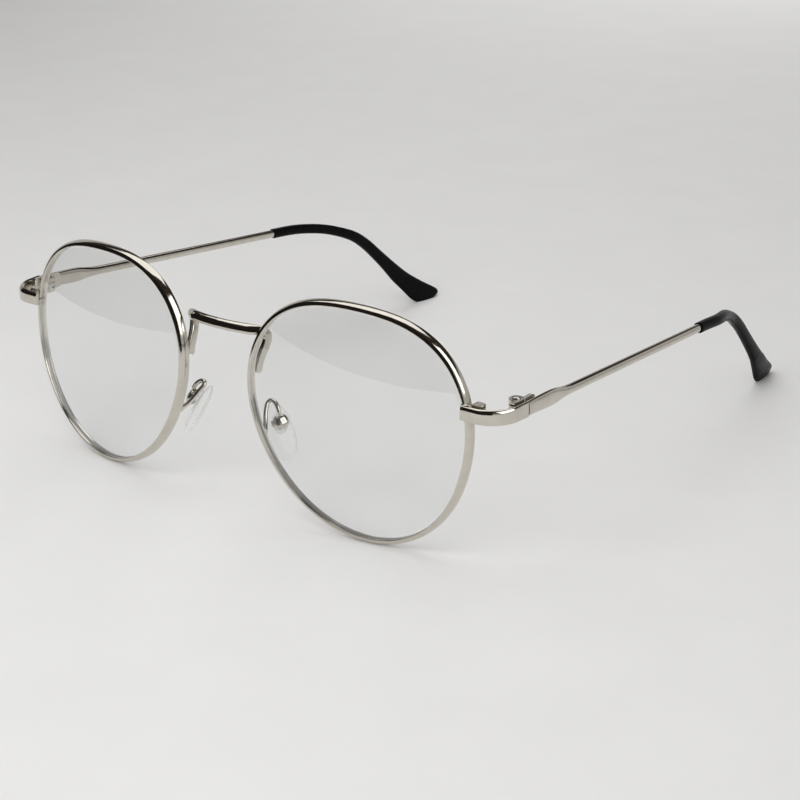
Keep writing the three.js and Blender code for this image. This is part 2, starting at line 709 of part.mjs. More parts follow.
const glasses = new THREE.Group();
glasses.add(namedMesh("bridge", bridgeGeometry(), polishedMetal));
for (const [side, mirror] of [["left", 1], ["right", -1]]) {
  const half = new THREE.Group();
  half.scale.x = mirror;
  for (const [piece, geometry, material] of halfPieces) {
    half.add(namedMesh(`${side}_${piece}`, geometry, material));
  }
  glasses.add(half);
}

// The origin goes to the middle of the footprint, on the surface that the glasses stand on.
const extent = new THREE.Box3().setFromObject(glasses);
glasses.position.y = -(extent.min.y + extent.max.y) / 2;

export default glasses;
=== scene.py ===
"""Looks for a pair of round wire-rimmed eyeglasses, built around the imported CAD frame.

Shapes are worked out in millimetres in the glasses' own frame, where the front faces -Y, the temples
run along +Y and the foot of the rims is at z = 0. The left half (+X) is made and then mirrored.
"""
import json
import math

import bmesh
import bpy
from mathutils import Matrix, Vector, noise


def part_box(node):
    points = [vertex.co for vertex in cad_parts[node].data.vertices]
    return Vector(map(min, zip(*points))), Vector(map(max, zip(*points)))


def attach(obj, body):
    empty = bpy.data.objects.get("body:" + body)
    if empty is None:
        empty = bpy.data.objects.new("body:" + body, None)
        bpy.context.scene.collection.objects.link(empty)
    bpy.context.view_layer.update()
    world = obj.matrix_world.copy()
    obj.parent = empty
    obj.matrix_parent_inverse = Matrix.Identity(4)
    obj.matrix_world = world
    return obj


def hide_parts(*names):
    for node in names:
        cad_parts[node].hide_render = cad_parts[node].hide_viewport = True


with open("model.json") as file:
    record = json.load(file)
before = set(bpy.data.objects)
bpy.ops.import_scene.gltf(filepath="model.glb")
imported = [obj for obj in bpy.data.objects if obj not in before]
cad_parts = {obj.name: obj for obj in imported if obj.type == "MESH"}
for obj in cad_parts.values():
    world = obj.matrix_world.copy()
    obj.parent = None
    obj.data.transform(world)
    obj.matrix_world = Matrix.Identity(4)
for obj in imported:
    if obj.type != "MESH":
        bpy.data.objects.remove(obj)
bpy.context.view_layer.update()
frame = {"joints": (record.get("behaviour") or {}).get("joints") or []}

# ---- driving dimensions, in millimetres

MM = 0.001
HINGE_PLACE = Vector(next(j["pos_m"] for j in frame["joints"] if j["name"] == "left_temple_fold")) / MM
HINGE_X = HINGE_PLACE.x
HINGE_Z = HINGE_PLACE.z
JOINT_Y = 13.7  # depth of the hinge behind the middle of the front
ROW_SHIFT = HINGE_PLACE.y - JOINT_Y

LENS_CENTRE_X = 36.64
FRONT_WRAP = math.radians(7.6)
FRONT_TILT = math.radians(-1.2)
LENS_CURVE_RADIUS = 135
RIM_RADIUS = 25.94
# The rim's outline: how many waves go round it, and the height of their cosine and sine parts.
RIM_WAVES = [(2, 0.66, -0.82), (3, -0.24, 0.94), (4, -0.30, 0)]
RIM_WIDTH = 1.24
RIM_DEPTH = 2.0
RIM_SPLIT_ANGLE = math.radians(14.6)
RIM_SPLIT = 0.3
GROOVE_DEPTH = 0.5
GROOVE_MOUTH = 0.84
LENS_THICKNESS = 1.3
LENS_CLEARANCE = 0.08
BEVEL_HEIGHT = 0.44
BEVEL_WIDTH = 0.72
BEVEL_FLAT = 0.1
LENS_EDGE_ROUND = 0.12

STRAP_FRONT_X = 61.2
STRAP_FRONT_Y = 3.82
STRAP_CORNER_RADIUS = 6.5
STRAP_THICKNESS = (0.95, 1.3)
STRAP_HALF_HEIGHT = (1.5, 1.62)
STRAP_SHOULDER = (0.78, 0.95)  # how far its rounded upper edge reaches in and down
STRAP_FLARE = 0.1
STRAP_END_ROUND = 0.12
JOINT_X = 71
JOINT_GAP = 0.1
BLOCK = {"screw_share": 0.52, "cover": 0.4, "bore": 0.62}

KNUCKLE_RADIUS = 1.6
KNUCKLE_HEIGHT = 1.13
KNUCKLE_GAP = 0.05
KNUCKLE_ROOM = 0.12
HINGE_BORE = 0.6
LEAF = {"thickness": 0.9, "gap": 0.14, "front": 3.3, "temple": 4.4}
# Each screw's shank radius, head radius and head height.
CLOSING_SCREW = (0.55, 0.95, 0.38)
HINGE_SCREW = (0.55, 1.0, 0.4)
PAD_SCREW = (0.4, 0.75, 0.35)
PAD_SCREW_LENGTH = 3.6
SCREW_SLOT = {"width": 0.26, "depth": 0.2}
SCREW_SEAT = 0.03
OVERRUN = 1  # how far a cutting shape reaches past what it cuts

BRIDGE_LINE = [
    (0, 0.3, 40.8),
    (4, 0.6, 40.78),
    (8.2, 1.5, 40.68),
    (10.1, 2.9, 40.3),
    (10.55, 3.9, 39.2),
    (10.45, 3.75, 37.7),
    (10.05, 2.75, 35.5),
    (9.85, 1.7, 33.3),
    (9.8, 1.35, 31.5),
]
BRIDGE_BAR = {"height": 2.35, "depth": 1.55, "power": 2.1, "lean": 0.9}
BRIDGE_LEG = {"height": 1.25, "depth": 2.1, "power": 4}
BRIDGE_BEND = (0.42, 0.62)  # shares of the half line where the bar turns into the leg

PAD_BOX_CENTRE = Vector((12.75, 4.75, 19.95))
PAD_UP = Vector((-0.474, 0.19, 0.86)).normalized()
PAD_FACE = Vector((-0.726, 0.468, -0.503)).normalized()
PAD = {"half_width": 3.1, "half_length": 6.3, "half_thickness": 1.3, "drop": 1.9, "stand": 2.2}
PAD_SHAPE = {"fullness": 0.86, "power": 2.3, "taper": 0.10}
PAD_BOX = {"radius": 1.75, "back": -1.5, "front": 0.55, "dome": 0.95, "slot": 1.0, "floor": -0.85}
PAD_BORE = 0.45
PAD_CORE = {"half_width": 1.5, "half_length": 2.4, "near": 0.95, "far": 1.4, "clearance": 0.1}
PAD_PIN_Z = 0.1
PAD_LUG = {"radius": 0.82, "thickness": 0.8, "neck": 0.7}
ARM_RADIUS = 0.5
ARM_FOOT_ANGLE = math.radians(198)
ARM_FOOT_GAP = 0.06
ARM_SIDE = (0, 0.79, -0.61)  # square to the plane that the arm bends in
ARM_LINE = [
    (11.0, 1.9, 20.2),
    (9.75, 3.6, 22.5),
    (9.35, 4.75, 23.65),
    (9.8, 5.2, 24.1),
    (10.8, 5.2, 24.0),
    (11.8, 4.9, 23.3),
]

TEMPLE_INSLOPE = 0.081
TEMPLE_DROP = 0.0621
# Distance behind the hinge, half height, half thickness and squareness of the section.
TEMPLE_STATIONS = [
    (0.1, 1.5, 0.65, 4.0),
    (3, 1.6, 0.65, 2.7),
    (7, 1.73, 0.65, 2.5),
    (9.5, 1.74, 0.65, 2.5),
    (11.5, 1.6, 0.67, 2.5),
    (13.5, 1.3, 0.75, 2.2),
    (16, 1.1, 0.86, 2.0),
    (20, 1.04, 0.92, 2.0),
    (41, 1.02, 0.92, 2.0),
    (58, 1.01, 0.9, 2.0),
    (74.3, 1.0, 0.88, 2.0),
]
TIP_START = 74.5
# The tip's two edges in side view, as distance behind the hinge and height.
TIP_UPPER = [
    (TIP_START, 29.95),
    (82, 29.4),
    (90, 28.2),
    (95.5, 26.55),
    (100.8, 24.2),
    (105.1, 21.15),
    (109.6, 17.05),
    (114.1, 13),
    (118.6, 9.2),
    (123.9, 5.4),
    (129.4, 1.7),
    (127.6, 0),
]
TIP_LOWER = [
    (TIP_START, 27.5),
    (81.7, 26.95),
    (89.4, 25.75),
    (94.2, 24.3),
    (99, 22.05),
    (103.1, 19),
    (107.3, 14.9),
    (111, 10.9),
    (114.1, 7.2),
    (116.8, 4.1),
    (119.1, 1.4),
    (121, 0),
]
TIP_HALF_THICKNESS = [1.2, 1.25, 1.25, 1.2, 1.15, 1.1, 1.05, 1.05, 1.0, 0.65]
TIP_BEND = {"from": 82, "to": 102, "inward": 4.1}
TIP_LEAN = 0.05
TIP_FOOT = {"below": 8, "lean": 0.22}
TIP_LENGTH = 75
TIP_END_ROUND = 0.35
TIP_POWER = 2.4
TIP_MOUTH = {"share": 0.3, "depth": 0.6}  # the hole for the wire: how far its edge is in, and its depth
CORE_HALF = (0.65, 0.55)
CORE_POWER = 2.2
CORE_END = 0.64

# ---- small maths


def lerp(a, b, share):
    return a + (b - a) * share


def smoothstep(value, low, high):
    share = min(max((value - low) / (high - low), 0), 1)
    return share * share * (3 - 2 * share)


def spline_row(rows, share):
    """A row of a table at a share of its length, by a uniform Catmull-Rom curve through its rows."""
    place = share * (len(rows) - 1)
    at = min(int(place), len(rows) - 2)
    t = place - at
    before, first, second, after = (rows[min(max(at + k, 0), len(rows) - 1)] for k in (-1, 0, 1, 2))

    def blend(a, b, c, d):
        leave = (c - a) / 2
        arrive = (d - b) / 2
        cubic = (2 * b - 2 * c + leave + arrive) * t
        return ((cubic - 3 * b + 3 * c - 2 * leave - arrive) * t + leave) * t + b

    return tuple(blend(*values) for values in zip(before, first, second, after))


def curve_through(points, per_span=24):
    """Closely spaced points on a centripetal Catmull-Rom curve through the given ones."""
    knots = [Vector(p) for p in points]
    knots = [2 * knots[0] - knots[1], *knots, 2 * knots[-1] - knots[-2]]
    line = []
    for i in range(1, len(knots) - 2):
        p0, p1, p2, p3 = knots[i - 1 : i + 3]
        t0, t1, t2 = (max((b - a).length, 1e-6) ** 0.5 for a, b in ((p0, p1), (p1, p2), (p2, p3)))
        leave = ((p1 - p0) / t0 - (p2 - p0) / (t0 + t1) + (p2 - p1) / t1) * t1
        arrive = ((p2 - p1) / t1 - (p3 - p1) / (t1 + t2) + (p3 - p2) / t2) * t1
        for k in range(per_span):
            t = k / per_span
            cubic = 2 * p1 - 2 * p2 + leave + arrive
            square = -3 * p1 + 3 * p2 - 2 * leave - arrive
            line.append(((cubic * t + square) * t + leave) * t + p1)
    line.append(knots[-2])
    return line


def end_spacing(length, steps, radius, rounds=5):
    """Distances along a length, bunched over the rounding at both ends."""
    near = [radius * (1 - math.cos(math.pi / 2 * k / rounds)) for k in range(rounds)]
    middle = [lerp(radius, length - radius, k / steps) for k in range(steps + 1)]
    return [*near, *middle, *(length - d for d in reversed(near))]


def end_inset(distance, length, radius):
    """How far a section draws in near an end that is rounded by a radius."""
    left = radius - min(distance, length - distance)
    return radius - math.sqrt(radius * radius - left * left) if left > 0 else 0


# ---- sections, as lists of (across, up)


def rounded_polygon(corners, steps=6):
    """A polygon of (x, y, radius) corners, each rounded by a curve that touches both of its sides."""
    outline = []
    for i, (x, y, radius) in enumerate(corners):
        corner = Vector((x, y))
        into = (Vector(corners[i - 1][:2]) - corner).normalized()
        out = (Vector(corners[(i + 1) % len(corners)][:2]) - corner).normalized()
        half_angle = into.angle(out) / 2
        reach = radius / math.tan(half_angle)
        centre = corner + (into + out).normalized() * (radius / math.sin(half_angle))
        start = corner + into * reach - centre
        swing = start.angle_signed(corner + out * reach - centre)
        for k in range(steps + 1):
            turn = Matrix.Rotation(-swing * k / steps, 2)
            outline.append(tuple(centre + turn @ start))
    return outline


def superellipse(half_across, half_up, power, count=32):
    """A closed outline that is an ellipse at power 2 and squarer above it."""
    outline = []
    for i in range(count):
        angle = (i + 0.5) / count * 2 * math.pi
        cos, sin = math.cos(angle), math.sin(angle)
        x = math.copysign(abs(cos) ** (2 / power), cos)
        y = math.copysign(abs(sin) ** (2 / power), sin)
        outline.append((half_across * x, half_up * y))
    return outline


def drawn_in(section, inset):
    """A section made smaller by an inset on every side of its box."""
    if inset <= 0:
        return section
    low = [min(p[k] for p in section) for k in (0, 1)]
    high = [max(p[k] for p in section) for k in (0, 1)]

    def pulled_in(value, k):
        return lerp(low[k] + inset, high[k] - inset, (value - low[k]) / (high[k] - low[k]))

    return [(pulled_in(x, 0), pulled_in(y, 1)) for x, y in section]


# ---- skins: (points, faces)


def skin(rings, caps=True):
    """Quads between matching rings of points, with a face over each end."""
    count = len(rings[0])
    last = (len(rings) - 1) * count
    points = [p for ring in rings for p in ring]
    faces = []
    for a in range(0, last, count):
        b = a + count
        for j in range(count):
            k = (j + 1) % count
            faces.append((a + j, a + k, b + k, b + j))
    if caps:
        faces.append(tuple(reversed(range(count))))
        faces.append(tuple(range(last, last + count)))
    return points, faces


def swept(line, section_at, up_at, steps, end_radius=0.0):
    """A section carried along a line of close points with its height near a direction; rounded ends."""
    lengths = [0.0]
    for a, b in zip(line, line[1:]):
        lengths.append(lengths[-1] + (b - a).length)
    total = lengths[-1]
    rings = []
    at = 0
    for distance in end_spacing(total, steps, max(end_radius, 1e-4), 6 if end_radius else 1):
        while at < len(lengths) - 2 and lengths[at + 1] < distance:
            at += 1
        span = lengths[at + 1] - lengths[at]
        centre = line[at].lerp(line[at + 1], (distance - lengths[at]) / span)
        ahead = line[min(at + 2, len(line) - 1)]
        behind = line[max(at - 1, 0)]
        tangent = (ahead - behind).normalized()
        up = Vector(up_at(distance / total))
        up = (up - tangent * up.dot(tangent)).normalized()
        across = tangent.cross(up)
        inset = end_inset(distance, total, end_radius) if end_radius else 0
        section = drawn_in(section_at(distance / total), inset)
        rings.append([centre + across * x + up * y for x, y in section])
    return skin(rings)


def turned(profile, segments=40):
    """A solid of revolution about +Z from (radius, z) points that start and end on the axis."""
    rings = [
        [
            Vector((r * math.cos(2 * math.pi * i / segments), r * math.sin(2 * math.pi * i / segments), z))
            for i in range(segments)
        ]
        for r, z in profile[1:-1]
    ]
    points, faces = skin(rings, caps=False)
    first = len(points)
    points += [Vector((0, 0, profile[0][1])), Vector((0, 0, profile[-1][1]))]
    last_ring = (len(rings) - 1) * segments
    for j in range(segments):
        k = (j + 1) % segments
        faces.append((first, k, j))
        faces.append((first + 1, last_ring + j, last_ring + k))
    return points, faces


def block(low, high):
    """A plain box between two corners, for cutting and for bevelling."""
    x, y, z = ((low[k], high[k]) for k in range(3))
    points = [Vector((x[i], y[j], z[k])) for k in (0, 1) for j in (0, 1) for i in (0, 1)]
    faces = [(0, 2, 3, 1), (4, 5, 7, 6), (0, 1, 5, 4), (2, 6, 7, 3), (0, 4, 6, 2), (1, 3, 7, 5)]
    return points, faces


def rod(radius, low, high, edge=0.0, segments=48):
    """A cylinder about +Z with chamfered ends."""
    profile = [(0, low), (radius - edge, low), (radius, low + edge), (radius, high - edge)]
    profile += [(radius - edge, high), (0, high)]
    return turned(profile, segments)


def moved(shape, matrix):
    points, faces = shape
    return [matrix @ p for p in points], faces


# ---- meshes and booleans


def mesh_of(name, shape):
    """A Blender mesh in millimetres, with its faces pointing out."""
    points, faces = shape
    mesh = bpy.data.meshes.new(name)
    mesh.from_pydata([tuple(p) for p in points], [], faces)
    work = bmesh.new()
    work.from_mesh(mesh)
    bmesh.ops.remove_doubles(work, verts=work.verts, dist=1e-5)
    bmesh.ops.recalc_face_normals(work, faces=work.faces)
    work.to_mesh(mesh)
    work.free()
    return mesh


def scratch_object(shape):
    thing = bpy.data.objects.new("scratch", mesh_of("scratch", shape))
    bpy.context.scene.collection.objects.link(thing)
    return thing


def settled_mesh(thing):
    """The mesh that an object's modifiers make, and the object is removed."""
    depsgraph = bpy.context.evaluated_depsgraph_get()
    mesh = bpy.data.meshes.new_from_object(thing.evaluated_get(depsgraph))
    bpy.data.objects.remove(thing)
    return mesh


def carved(shape, joined=(), removed=(), edge=0.0, bevel_angle=40):
    """Joins and cuts solids, then rounds the sharp edges that result."""
    body = scratch_object(shape)
    tools = []
    for operation, shapes in (("UNION", joined), ("DIFFERENCE", removed)):
        for tool_shape in shapes:
            tool = scratch_object(tool_shape)
            modifier = body.modifiers.new("carve", "BOOLEAN")
            modifier.operation = operation
            modifier.solver = "EXACT"
            modifier.object = tool
            tools.append(tool)
    if edge:
        bevel = body.modifiers.new("edge", "BEVEL")
        bevel.width = edge
        bevel.segments = 3
        bevel.limit_method = "ANGLE"
        bevel.angle_limit = math.radians(bevel_angle)
        bevel.use_clamp_overlap = True
    mesh = settled_mesh(body)
    for tool in tools:
        bpy.data.objects.remove(tool)
    return mesh


def add_piece(name, source, material, body, nodes, slot, mirror=1, smooth_angle=35, weighted=False):
    """Puts a shape or a millimetre mesh in place as a piece that stands for CAD nodes."""
    mesh = mesh_of(name, source) if isinstance(source, tuple) else source.copy()
    mesh.name = name
    place = Matrix.Translation((0, ROW_SHIFT, 0)) @ Matrix.Diagonal((mirror, 1, 1, 1))
    mesh.transform(Matrix.Scale(MM, 4) @ place)
    if mirror < 0:
        mesh.flip_normals()
    mesh.materials.clear()
    mesh.materials.append(material)
    mesh.shade_smooth()
    mesh.set_sharp_from_angle(angle=math.radians(smooth_angle))
    piece = bpy.data.objects.new(name, mesh)
    bpy.context.scene.collection.objects.link(piece)
    if weighted:
        modifier = piece.modifiers.new("even_faces", "WEIGHTED_NORMAL")
        modifier.keep_sharp = True
    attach(piece, body)
    if nodes:
        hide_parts(*nodes)
    return piece


# ---- materials


def set_ramp(node, *stops):
    """Gives the two ends of a colour ramp a position and a tint each."""
    for element, (position, tint) in zip(node.color_ramp.elements, stops):
        element.position = position
        element.color = (*tint, 1)


class Nodes:
    """A material's node tree, with short ways to add and join nodes."""

    def __init__(self, name):
        self.material = bpy.data.materials.new(name)
        self.material.use_nodes = True
        self.tree = self.material.node_tree
        self.tree.nodes.clear()
        self.output = self.add("ShaderNodeOutputMaterial")
        self.place = self.add("ShaderNodeTexCoord").outputs["Object"]

    def add(self, kind, **values):
        node = self.tree.nodes.new(kind)
        for key, value in values.items():
            setattr(node, key, value)
        return node

    def join(self, source, target):
        self.tree.links.new(source, target)

    def stretched(self, scale):
        mapping = self.add("ShaderNodeMapping")
        mapping.inputs["Scale"].default_value = scale
        self.join(self.place, mapping.inputs["Vector"])
        return mapping.outputs["Vector"]

    def noise(self, scale, detail=3.0, vector=None):
        """Noise with a number of features per metre."""
        texture = self.add("ShaderNodeTexNoise")
        texture.inputs["Scale"].default_value = scale
        texture.inputs["Detail"].default_value = detail
        self.join(vector or self.place, texture.inputs["Vector"])
        return texture.outputs["Fac"]

    def ranged(self, value, low, high, start=0.3, end=0.7, **values):
        """A value spread between two numbers."""
        spread = self.add("ShaderNodeMapRange", **values)
        spread.inputs["From Min"].default_value = start
        spread.inputs["From Max"].default_value = end
        spread.inputs["To Min"].default_value = low
        spread.inputs["To Max"].default_value = high
        self.join(value, spread.inputs["Value"])
        return spread.outputs["Result"]

    def tinted(self, value, first, second):
        """A colour that runs from one tint to another with a value."""
        ramp = self.add("ShaderNodeValToRGB")
        set_ramp(ramp, (0.3, first), (0.7, second))
        self.join(value, ramp.inputs["Fac"])
        return ramp.outputs["Color"]

    def bump(self, height, strength, distance):
        """A bump whose full height is a distance in metres."""
        node = self.add("ShaderNodeBump")
        node.inputs["Strength"].default_value = strength
        node.inputs["Distance"].default_value = distance
        self.join(height, node.inputs["Height"])
        return node.outputs["Normal"]

    def principled(self, **values):
        shader = self.add("ShaderNodeBsdfPrincipled")
        for key, value in values.items():
            shader.inputs[key.replace("_", " ")].default_value = value
        return shader

    def grained(self, grain, tints, roughness, bump, **values):
        """A surface whose colour, roughness and bump all follow one grain."""
        shader = self.principled(**values)
        self.join(self.tinted(grain, *tints), shader.inputs["Base Color"])
        self.join(self.ranged(grain, *roughness), shader.inputs["Roughness"])
        self.join(self.bump(grain, *bump), shader.inputs["Normal"])
        return shader

    def mixed(self, first, second, factor):
        mix = self.add("ShaderNodeMixShader")
        self.join(first.outputs[0], mix.inputs[1])
        self.join(second.outputs[0], mix.inputs[2])
        self.join(factor, mix.inputs["Fac"])
        return mix

    def mirrored_share(self, ior, surface=None):
        """What a clear surface reflects, counted only where light goes in."""
        fresnel = self.add("ShaderNodeFresnel")
        fresnel.inputs["IOR"].default_value = ior
        if surface:
            self.join(surface, fresnel.inputs["Normal"])
        outside = self.add("ShaderNodeMath", operation="SUBTRACT")
        outside.inputs[0].default_value = 1.0
        self.join(self.add("ShaderNodeNewGeometry").outputs["Backfacing"], outside.inputs[1])
        share = self.add("ShaderNodeMath", operation="MULTIPLY")
        self.join(fresnel.outputs["Fac"], share.inputs[0])
        self.join(outside.outputs[0], share.inputs[1])
        return share.outputs[0]

    def finish(self, shader):
        self.join(shader.outputs[0], self.output.inputs["Surface"])
        return self.material


def plated_metal():
    """Polished nickel plating: warm grey, with a slight ripple, haze and hairline scratches."""
    nodes = Nodes("polished_nickel")
    shader = nodes.principled(Metallic=1.0)
    haze = nodes.noise(420, 4)
    nodes.join(nodes.tinted(haze, (0.60, 0.565, 0.50), (0.66, 0.625, 0.565)), shader.inputs["Base Color"])
    nodes.join(nodes.ranged(nodes.noise(1500, 5), 0.07, 0.15), shader.inputs["Roughness"])
    ripple = nodes.noise(700, 2)
    hairlines = nodes.noise(9000, 2, nodes.stretched((1, 0.06, 1)))
    both = nodes.add("ShaderNodeMath", operation="MULTIPLY_ADD")
    both.inputs[1].default_value = 0.12
    nodes.join(hairlines, both.inputs[0])
    nodes.join(ripple, both.inputs[2])
    nodes.join(nodes.bump(both.outputs[0], 0.35, 0.00001), shader.inputs["Normal"])
    return nodes.finish(shader)


def cast_solder():
    """Bright brazing with a lumpy frozen surface."""
    nodes = Nodes("bright_solder")
    lumps = nodes.noise(1400, 3)
    tints = ((0.58, 0.55, 0.48), (0.70, 0.67, 0.61))
    return nodes.finish(nodes.grained(lumps, tints, (0.10, 0.24), (0.6, 0.00012), Metallic=1.0))


def screw_steel():
    """Bare steel with turning marks and a duller finish than the plating."""
    nodes = Nodes("screw_steel")
    marks = nodes.noise(5200, 3)
    tints = ((0.42, 0.41, 0.39), (0.56, 0.55, 0.53))
    return nodes.finish(nodes.grained(marks, tints, (0.16, 0.32), (0.4, 0.00001), Metallic=1.0))


def clear_shell(name, ior, tint, haze, haze_and_highlight_tint, roughness, ripple, haze_and_highlight_start):
    """A clear solid seen as its surfaces: it shows what is behind, with gloss and a pale edge, partly haze
    in the clear stuff and partly painted highlight.

    The pale edge (haze and painted highlight) goes from its first to its second share as the surface turns
    away from the viewer.
    """
    nodes = Nodes(name)
    cloud = nodes.noise(600, 3)
    through = nodes.add("ShaderNodeBsdfTransparent")
    nodes.join(nodes.tinted(cloud, tint, tuple(0.5 + v / 2 for v in tint)), through.inputs["Color"])
    # The pale body colour is partly haze and partly a painted highlight along the outline.
    body = nodes.principled(IOR=ior)
    nodes.join(nodes.tinted(cloud, haze_and_highlight_tint, tuple(0.9 * v for v in haze_and_highlight_tint)), body.inputs["Base Color"])
    nodes.join(nodes.ranged(cloud, roughness, roughness * 1.6), body.inputs["Roughness"])
    surface = nodes.bump(nodes.noise(1800, 2), 0.3, ripple)
    nodes.join(surface, body.inputs["Normal"])
    facing = nodes.add("ShaderNodeLayerWeight")
    facing.inputs["Blend"].default_value = 0.5
    nodes.join(surface, facing.inputs["Normal"])
    turned_away = facing.outputs["Facing"]
    # Painted highlight, partly haze: a pale shader mixed in more strongly towards the outline.
    edge = nodes.ranged(turned_away, *haze, haze_and_highlight_start, 0.85, interpolation_type="SMOOTHSTEP")
    gloss = nodes.add("ShaderNodeBsdfGlossy")
    gloss.inputs["Roughness"].default_value = 0.04
    nodes.join(surface, gloss.inputs["Normal"])
    clear = nodes.mixed(through, body, edge)
    return nodes.finish(nodes.mixed(clear, gloss, nodes.mirrored_share(ior, surface)))


def lens_plastic():
    """A coated clear lens: faint cool reflection, and very faint cleaning marks in its gloss."""
    nodes = Nodes("coated_lens")
    smears = nodes.noise(90, 5, nodes.stretched((1, 1, 0.35)))
    through = nodes.add("ShaderNodeBsdfTransparent")
    nodes.join(nodes.tinted(smears, (0.955, 0.957, 0.955), (0.968, 0.969, 0.968)), through.inputs["Color"])
    gloss = nodes.add("ShaderNodeBsdfGlossy")
    nodes.join(nodes.tinted(smears, (0.95, 0.97, 1.0), (0.9, 0.94, 1.0)), gloss.inputs["Color"])
    nodes.join(nodes.ranged(smears, 0.0, 0.02), gloss.inputs["Roughness"])
    return nodes.finish(nodes.mixed(through, gloss, nodes.mirrored_share(1.75)))


def ground_edge():
    """The lens's ground edge: pale, finely frosted plastic."""
    nodes = Nodes("ground_lens_edge")
    grit = nodes.noise(9000, 3)
    tints = ((0.80, 0.81, 0.80), (0.95, 0.96, 0.95))
    shader = nodes.grained(grit, tints, (0.25, 0.45), (0.3, 0.00001), IOR=1.5)
    clear = nodes.add("ShaderNodeBsdfTransparent")
    return nodes.finish(nodes.mixed(clear, shader, nodes.ranged(grit, 0.08, 0.2)))


def black_acetate():
    """Satin black moulded tip with a fine grain and a soft sheen."""
    nodes = Nodes("satin_black")
    shader = nodes.principled(IOR=1.5, Specular_IOR_Level=0.06)
    grain = nodes.noise(2600, 4)
    black = nodes.tinted(grain, (0.002, 0.002, 0.0024), (0.005, 0.005, 0.0058))
    nodes.join(black, shader.inputs["Base Color"])
    nodes.join(nodes.ranged(nodes.noise(500, 4), 0.24, 0.36), shader.inputs["Roughness"])
    nodes.join(nodes.bump(grain, 0.25, 0.00002), shader.inputs["Normal"])
    return nodes.finish(shader)


def floor_paint():
    """A pale matt sheet with a barely visible mottle."""
    nodes = Nodes("pale_sheet")
    shader = nodes.principled(Roughness=0.7, Specular_IOR_Level=0.2)
    mottle = nodes.noise(40, 4)
    nodes.join(nodes.tinted(mottle, (0.795, 0.795, 0.79), (0.815, 0.815, 0.81)), shader.inputs["Base Color"])
    nodes.join(nodes.bump(nodes.noise(1500, 2), 0.1, 0.00005), shader.inputs["Normal"])
    return nodes.finish(shader)


METAL = plated_metal()
SOLDER = cast_solder()
STEEL = screw_steel()
LENS = lens_plastic()
LENS_EDGE = ground_edge()
# Both clear materials get pale edges that are partly haze and partly painted highlight.
SILICONE = clear_shell(
    "clear_silicone", ior=1.41, tint=(0.985, 0.987, 0.985), haze=(0.04, 1.0),
    haze_and_highlight_tint=(0.99, 0.995, 0.99), roughness=0.2, ripple=0.00003, haze_and_highlight_start=0.3,
)
HARD_CLEAR = clear_shell(
    "hard_clear", ior=1.49, tint=(0.95, 0.955, 0.95), haze=(0.06, 0.85),
    haze_and_highlight_tint=(0.85, 0.86, 0.85), roughness=0.15, ripple=0.00002, haze_and_highlight_start=0.5,
)
BLACK = black_acetate()

# ---- rim and lens


def rim_radius(angle):
    waves = (c * math.cos(n * angle) + s * math.sin(n * angle) for n, c, s in RIM_WAVES)
    return RIM_RADIUS + sum(waves)


FRONT_TURN = Matrix.Rotation(FRONT_TILT, 4, "X") @ Matrix.Rotation(FRONT_WRAP, 4, "Z")
LENS_CENTRE_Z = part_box("left_rim")[0].z / MM


def front_point(out, up, behind):
    back = (out * out + up * up) / (2 * LENS_CURVE_RADIUS) + behind
    return FRONT_TURN @ Vector((out, back, up)) + Vector((LENS_CENTRE_X, 0, LENS_CENTRE_Z))


def rim_point(angle, radial, axial):
    radius = rim_radius(angle) + radial
    return front_point(radius * math.cos(angle), radius * math.sin(angle), axial)


# The rim stands on the same surface as its CAD node does. Its lowest point is near its back edge.
low_edge = min(rim_point(math.radians(d / 4), RIM_WIDTH / 2, RIM_DEPTH / 2 - 0.22).z for d in range(1440))
LENS_CENTRE_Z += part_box("left_rim")[0].z / MM - low_edge


def rim_shape():
    half = RIM_WIDTH / 2
    deep = RIM_DEPTH / 2
    section = rounded_polygon(
        [
            (-half, -deep, 0.2),
            (half - 0.8, -deep, 1.1),
            (half - 0.3, -deep + 0.2, 0.6),
            (half, -deep + 1, 2.2),
            (half, deep, 0.3),
            (-half, deep, 0.14),
            (-half, GROOVE_MOUTH / 2, 0.06),
            (-half + GROOVE_DEPTH, 0, 0.12),
            (-half, -GROOVE_MOUTH / 2, 0.06),
        ]
    )
    length = 2 * math.pi * RIM_RADIUS - RIM_SPLIT
    end_round = 0.08
    rings = []
    for distance in end_spacing(length, 220, end_round):
        angle = RIM_SPLIT_ANGLE + (distance + RIM_SPLIT / 2) / RIM_RADIUS
        inset = end_inset(distance, length, end_round)
        rings.append([rim_point(angle, *p) for p in drawn_in(section, inset)])
    return skin(rings)


LENS_STEPS = 160
LENS_ANGLES = [2 * math.pi * i / LENS_STEPS for i in range(LENS_STEPS)]
LENS_SHARES = [0.02, 0.15, 0.3, 0.45, 0.6, 0.75, 0.88, 0.97, 0.992]


def lens_ring(share, beyond, behind):
    """A ring at a share of the lens's radius, plus a distance beyond that."""
    ring = []
    for angle in LENS_ANGLES:
        edge = rim_radius(angle) - RIM_WIDTH / 2 - LENS_CLEARANCE
        radius = share * edge + beyond
        ring.append(front_point(radius * math.cos(angle), radius * math.sin(angle), behind))
    return ring


def lens_shape():
    half = LENS_THICKNESS / 2
    bevel = [(0, BEVEL_WIDTH / 2), (0, half - LENS_EDGE_ROUND)]
    rings = [lens_ring(share, 0, -half) for share in LENS_SHARES]
    rings += [lens_ring(1, beyond, -behind) for beyond, behind in reversed(bevel)]
    rings += [lens_ring(1, BEVEL_HEIGHT, behind) for behind in (-BEVEL_FLAT / 2, BEVEL_FLAT / 2)]
    rings += [lens_ring(1, beyond, behind) for beyond, behind in bevel]
    rings += [lens_ring(share, 0, half) for share in reversed(LENS_SHARES)]
    return skin(rings)


